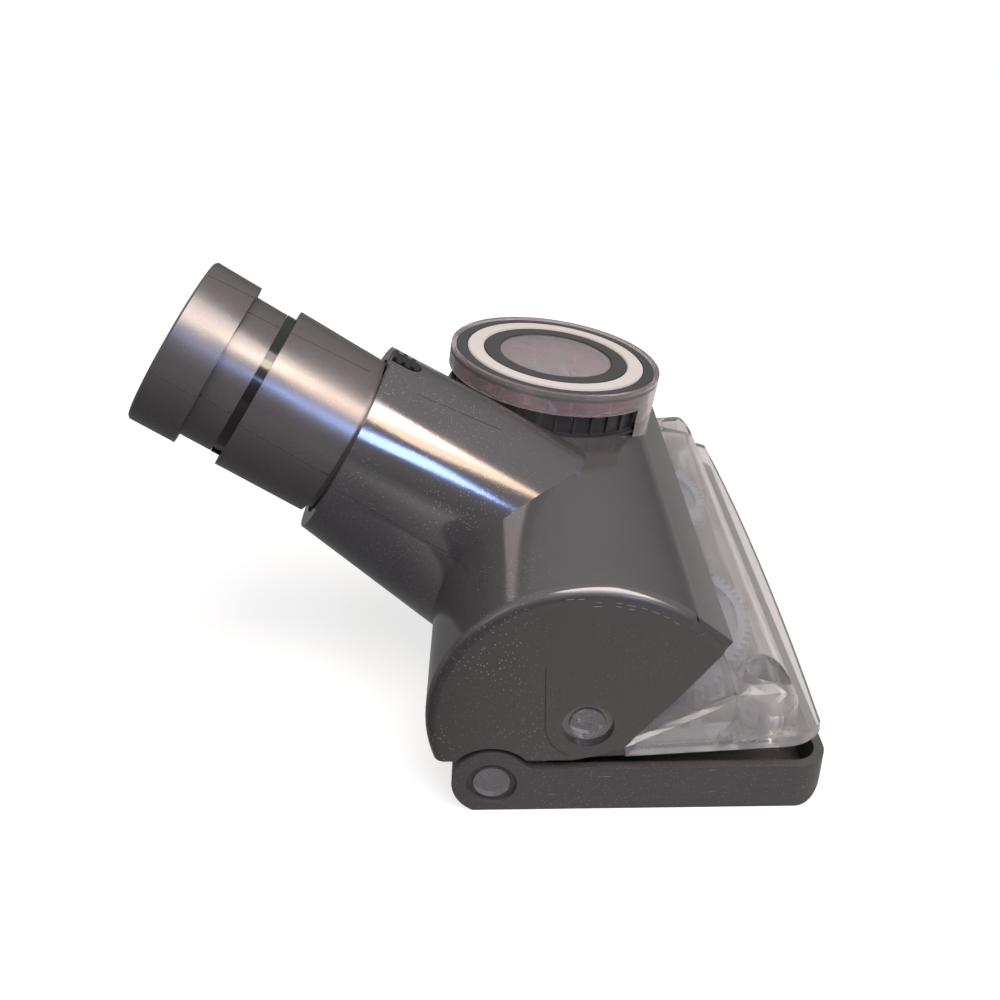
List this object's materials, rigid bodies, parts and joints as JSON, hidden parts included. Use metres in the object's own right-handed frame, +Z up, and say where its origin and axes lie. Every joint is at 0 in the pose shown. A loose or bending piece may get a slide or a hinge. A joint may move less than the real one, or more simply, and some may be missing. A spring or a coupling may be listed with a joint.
{
  "type": "vacuum turbo brush",
  "caption": "Turbine driven vacuum brush head with a clear gear case, counter-turning brush discs, a swinging drum, a hose neck and a hinged sole tray.",
  "frame": {"origin": "on the floor plane straight under the rear hinge pins, mid-width: the foot of the sole tray", "axes": "+X forward, away from the hose neck; +Y across the tool; +Z up"},
  "size_m": [0.1618, 0.15, 0.1098],
  "materials": {
    "tray_satin": "satin dark grey moulding with fine scuffs",
    "clear_plastic": "clear moulded polycarbonate",
    "steel": "turned steel",
    "bronze": "sintered bearing bronze",
    "gear_grey": "blue-grey moulded gear resin",
    "disc_dark": "dark moulded resin",
    "bristle": "soft black filament tufts",
    "pinion_cream": "natural acetal resin",
    "rubber": "black elastomer",
    "drum_gloss": "glossy grey pearl moulding",
    "cuff_satin": "semi-gloss metallic grey moulding",
    "clip_black": "glossy black resin",
    "bezel_grey": "satin mid-grey ring",
    "trim_white": "glossy warm white ring",
    "wheel_red": "deep red moulded turbine"
  },
  "bodies": {
    "sole": {"sole_tray": "tray_satin"},
    "case": {"gear_case_base": "clear_plastic", "gear_case_cover": "clear_plastic", "cover_screw_left": "steel", "cover_screw_right": "steel", "pinion_bush": "bronze"},
    "brush_left": {"gear_left": "gear_grey", "axle_left": "steel", "brush_disc_left": "disc_dark", "bristles_left": "bristle", "disc_screw_left": "steel"},
    "brush_right": {"gear_right": "gear_grey", "axle_right": "steel", "brush_disc_right": "disc_dark", "bristles_right": "bristle", "disc_screw_right": "steel"},
    "pinion": {"drive_pinion": "pinion_cream", "flex_coupling": "rubber"},
    "drum": {"drum_shell": "drum_gloss", "neck_cuff": "cuff_satin", "retaining_clip": "clip_black", "cuff_seal": "rubber", "turbine_frame": "disc_dark", "bearing_upper": "steel", "bearing_lower": "steel", "turbine_bowl": "clear_plastic", "outer_bezel": "bezel_grey", "trim_ring": "trim_white", "inner_bezel": "bezel_grey", "window_lens": "clear_plastic"},
    "turbine": {"turbine_wheel": "wheel_red", "turbine_shaft": "steel", "wheel_nut": "steel"},
    "catch": {"cuff_catch": "clip_black"}
  },
  "joints": [
    {"name": "case_hinge", "type": "hinge", "parent": "sole", "child": "case", "pos_m": [0, 0, 0.0079], "axis": [0, 1, 0], "range_deg": [0, 3.5]},
    {"name": "drum_pivot", "type": "hinge", "parent": "case", "child": "drum", "pos_m": [0.0212, 0, 0.0245], "axis": [0, 1, 0], "range_deg": [0, 20]},
    {"name": "spin_left", "type": "hinge", "parent": "case", "child": "brush_left", "pos_m": [0.03548, 0.0304, 0.01919], "axis": [-0.061, 0, 0.9981], "continuous": true},
    {"name": "spin_right", "type": "hinge", "parent": "case", "child": "brush_right", "pos_m": [0.03548, -0.0304, 0.01919], "axis": [-0.061, 0, 0.9981], "continuous": true},
    {"name": "spin_pinion", "type": "hinge", "parent": "case", "child": "pinion", "pos_m": [0.01236, 0.0018, 0.01777], "axis": [-0.061, 0, 0.9981], "continuous": true},
    {"name": "spin_turbine", "type": "hinge", "parent": "drum", "child": "turbine", "pos_m": [0.019, 0.026, 0.072], "axis": [0.153, 0, 0.9882], "continuous": true},
    {"name": "catch_press", "type": "slide", "parent": "drum", "child": "catch", "axis": [-0.515, 0, -0.8572], "range_m": [0, 0.0014], "stiffness_N_per_m": 400}
  ],
  "couplings": [
    {"joint": "spin_right", "follows": "spin_left", "ratio": -1},
    {"joint": "spin_pinion", "follows": "spin_left", "ratio": -4.75},
    {"joint": "spin_turbine", "follows": "spin_left", "ratio": -4.75}
  ]
}
